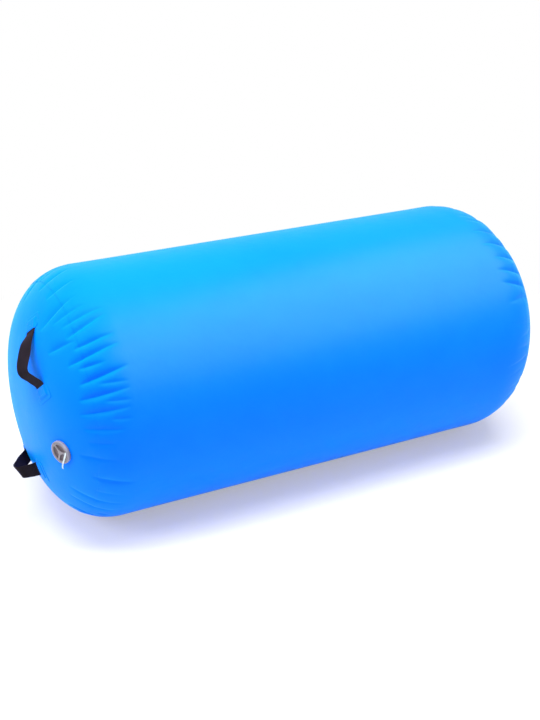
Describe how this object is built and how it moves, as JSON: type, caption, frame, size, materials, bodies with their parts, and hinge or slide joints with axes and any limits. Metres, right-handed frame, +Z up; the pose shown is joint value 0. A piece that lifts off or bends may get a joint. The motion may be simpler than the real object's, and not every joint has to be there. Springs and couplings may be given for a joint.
{
  "type": "inflatable gymnastics roll",
  "caption": "Air-filled cylinder of coated fabric with bulging round ends, webbing loop handles and a capped inflation valve, rolled over and leaned on in tumbling practice.",
  "frame": {"origin": "on the floor, under the middle of the roll", "axes": "+X along the roll, away from the end that holds the valve; +Z up; +Y is the back"},
  "size_m": [1.386, 0.6, 0.5975],
  "materials": {
    "coated_fabric": "azure PVC-coated polyester, smooth with a soft sheen",
    "handle_patch": "the same azure PVC-coated fabric, welded on",
    "welding_tape": "blue PVC tape",
    "webbing": "black woven polyester webbing",
    "valve_plastic": "light grey moulded plastic, satin",
    "cap_plastic": "mid grey moulded plastic, satin",
    "seal_rubber": "black rubber",
    "clear_strip": "translucent soft plastic",
    "spring_steel": "bright spring wire"
  },
  "bodies": {
    "inflated_body": {"plain_end_disc": "coated_fabric", "plain_end_lower_handle_inner_patch": "handle_patch", "plain_end_lower_handle_inner_strap_end": "webbing", "plain_end_lower_handle_outer_patch": "handle_patch", "plain_end_lower_handle_outer_strap_end": "webbing", "plain_end_seam_tape": "welding_tape", "plain_end_upper_handle_inner_patch": "handle_patch", "plain_end_upper_handle_inner_strap_end": "webbing", "plain_end_upper_handle_outer_patch": "handle_patch", "plain_end_upper_handle_outer_strap_end": "webbing", "tube_wall": "coated_fabric", "valve_backing_patch": "welding_tape", "valve_collar": "valve_plastic", "valve_end_disc": "coated_fabric", "valve_end_lower_handle_inner_patch": "handle_patch", "valve_end_lower_handle_inner_strap_end": "webbing", "valve_end_lower_handle_outer_patch": "handle_patch", "valve_end_lower_handle_outer_strap_end": "webbing", "valve_end_seam_tape": "welding_tape", "valve_end_upper_handle_inner_patch": "handle_patch", "valve_end_upper_handle_inner_strap_end": "webbing", "valve_end_upper_handle_outer_patch": "handle_patch", "valve_end_upper_handle_outer_strap_end": "webbing", "valve_gasket": "seal_rubber", "valve_nut": "valve_plastic", "valve_spring": "spring_steel", "valve_stem_guide": "valve_plastic", "wall_seam_tape": "welding_tape"},
    "cap_seal": {"valve_cap_seal": "seal_rubber"},
    "cap": {"valve_cap": "cap_plastic", "valve_cap_strap": "clear_strip"},
    "poppet": {"valve_poppet": "cap_plastic", "valve_poppet_seal": "seal_rubber"},
    "valve_end_upper_handle": {"valve_end_upper_handle_loop": "webbing"},
    "valve_end_lower_handle": {"valve_end_lower_handle_loop": "webbing"},
    "plain_end_upper_handle": {"plain_end_upper_handle_loop": "webbing"},
    "plain_end_lower_handle": {"plain_end_lower_handle_loop": "webbing"}
  },
  "joints": [
    {"name": "valve_end_upper_handle_fold", "type": "hinge", "parent": "inflated_body", "child": "valve_end_upper_handle", "pos_m": [-0.64598, -0.07916, 0.43976], "axis": [0.1029, 0.67, 0.7352], "range_deg": [-28, 71]},
    {"name": "valve_end_lower_handle_fold", "type": "hinge", "parent": "inflated_body", "child": "valve_end_lower_handle", "pos_m": [-0.65042, 0.0032, 0.14568], "axis": [-0.0514, -0.9849, 0.1651], "range_deg": [-53, 57]},
    {"name": "plain_end_upper_handle_fold", "type": "hinge", "parent": "inflated_body", "child": "plain_end_upper_handle", "pos_m": [0.64598, 0.07916, 0.43976], "axis": [-0.1029, -0.67, 0.7352], "range_deg": [-28, 71]},
    {"name": "plain_end_lower_handle_fold", "type": "hinge", "parent": "inflated_body", "child": "plain_end_lower_handle", "pos_m": [0.65042, -0.0032, 0.14568], "axis": [0.0514, 0.9849, 0.1651], "range_deg": [-53, 57]},
    {"name": "cap_lift", "type": "slide", "parent": "inflated_body", "child": "cap_seal", "axis": [-0.9072, -0.4135, -0.0766], "range_m": [0, 0.02]},
    {"name": "cap_turn", "type": "hinge", "parent": "cap_seal", "child": "cap", "pos_m": [-0.63466, -0.1937, 0.26155], "axis": [-0.9072, -0.4135, -0.0766], "range_deg": [0, 90]},
    {"name": "poppet_press", "type": "slide", "parent": "inflated_body", "child": "poppet", "axis": [0.9072, 0.4135, 0.0766], "range_m": [0, 0.006], "stiffness_N_per_m": 400, "springref_m": -0.004, "deforming": ["valve_spring"]}
  ]
}
